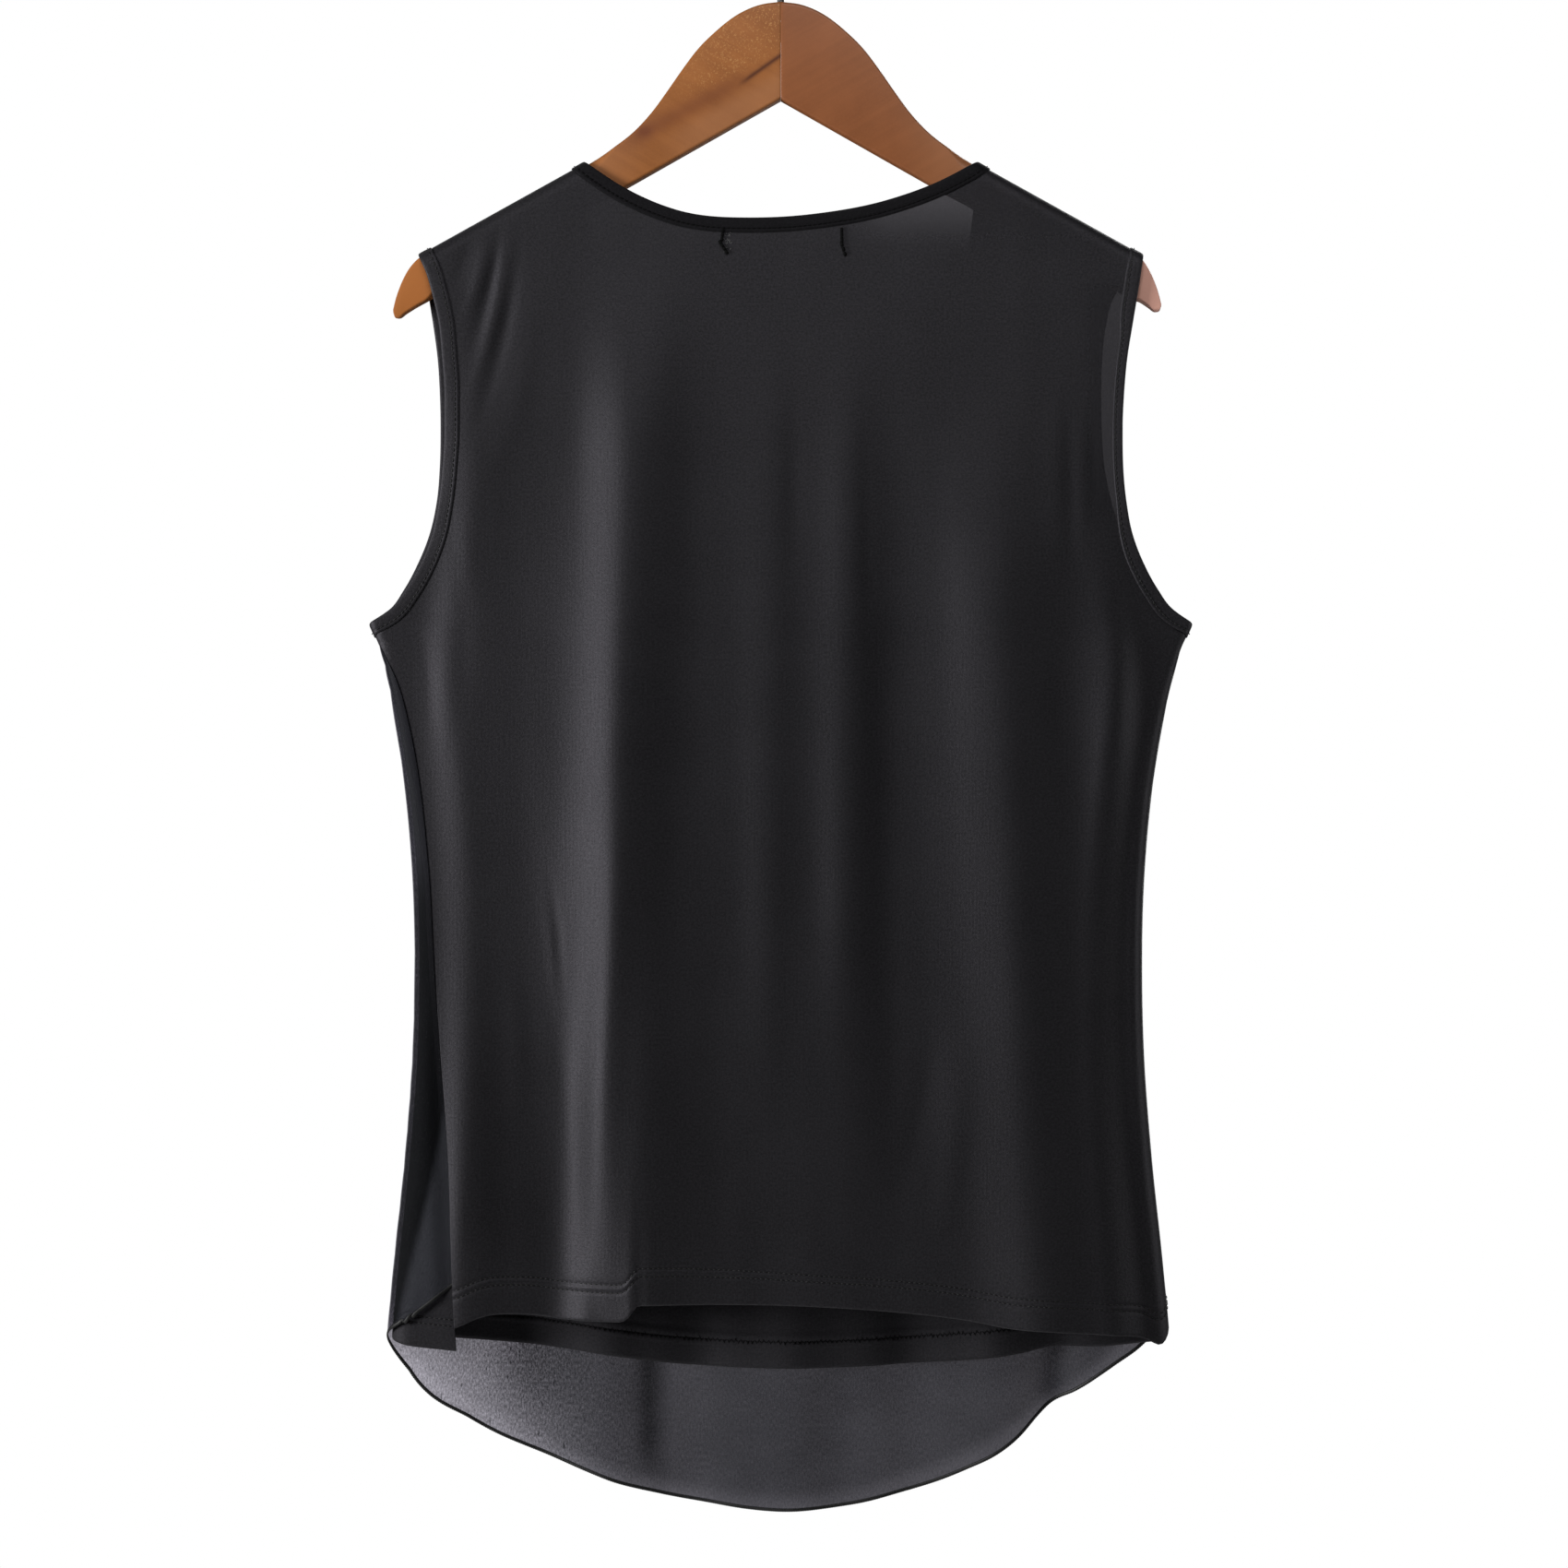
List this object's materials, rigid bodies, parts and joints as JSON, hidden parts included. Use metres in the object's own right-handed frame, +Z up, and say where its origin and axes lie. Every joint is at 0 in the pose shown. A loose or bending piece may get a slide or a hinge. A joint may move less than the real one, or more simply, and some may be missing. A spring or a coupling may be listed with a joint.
{
  "type": "sleeveless blouse on a wooden hanger",
  "caption": "Black sleeveless blouse with a scoop neck, a jersey back and front and a longer curved chiffon overlay on the front, hanging on a contoured wooden hanger with a steel hook.",
  "frame": {"origin": "the point inside the hook's bend where a rail carries it", "axes": "+Z up, the blouse's back faces -Y and its front +Y, +X to the right as seen from the back"},
  "size_m": [0.464, 0.0568, 0.9315],
  "materials": {
    "jersey": "satin-faced stretch jersey, soft sheen",
    "binding": "folded jersey strip, matt",
    "chiffon": "thin see-through crepe chiffon",
    "wood": "varnished, semi-gloss",
    "steel": "polished wire"
  },
  "bodies": {
    "root": {"back_panel": "jersey", "front_panel": "jersey", "front_overlay": "chiffon", "neck_binding": "binding", "armhole_binding_left": "binding", "armhole_binding_right": "binding", "hanger_half_left": "wood", "hanger_half_right": "wood", "hanger_hook": "steel"}
  },
  "joints": []
}
